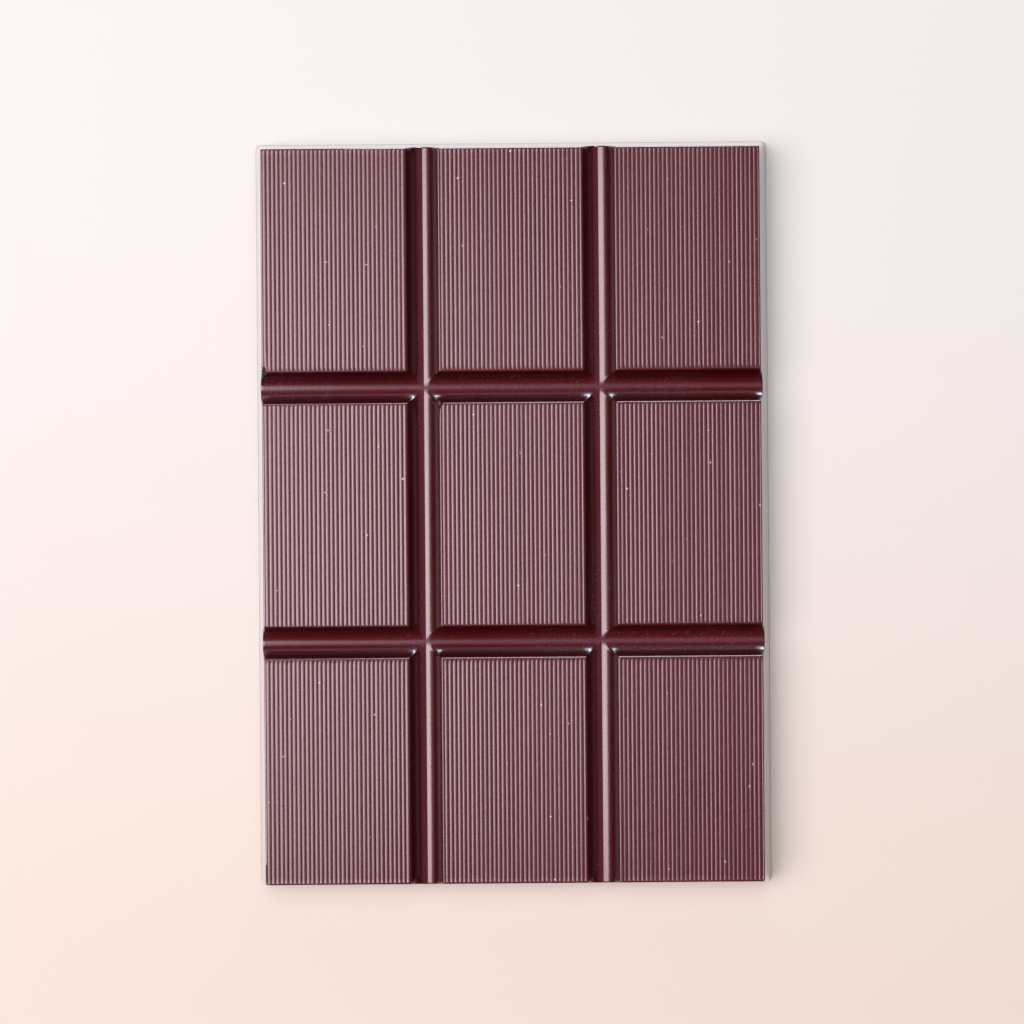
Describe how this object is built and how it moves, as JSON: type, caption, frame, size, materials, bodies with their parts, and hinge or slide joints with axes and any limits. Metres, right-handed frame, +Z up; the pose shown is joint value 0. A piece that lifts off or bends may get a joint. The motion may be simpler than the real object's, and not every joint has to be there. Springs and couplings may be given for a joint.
{
  "type": "chocolate bar",
  "caption": "Flat rectangular bar of dark chocolate with sloping sides, parted by rounded break grooves into oblong segments whose faces carry fine lengthwise ribs.",
  "frame": {"origin": "middle of the flat back that the bar rests on", "axes": "+X across the bar, +Y along the bar and its ribs, +Z up out of the ribbed face"},
  "size_m": [0.081, 0.1174, 0.009],
  "materials": {
    "dark_chocolate": "satin tempered dark chocolate, glossy in the grooves"
  },
  "bodies": {
    "root": {"chocolate_bar": "dark_chocolate"}
  },
  "joints": []
}
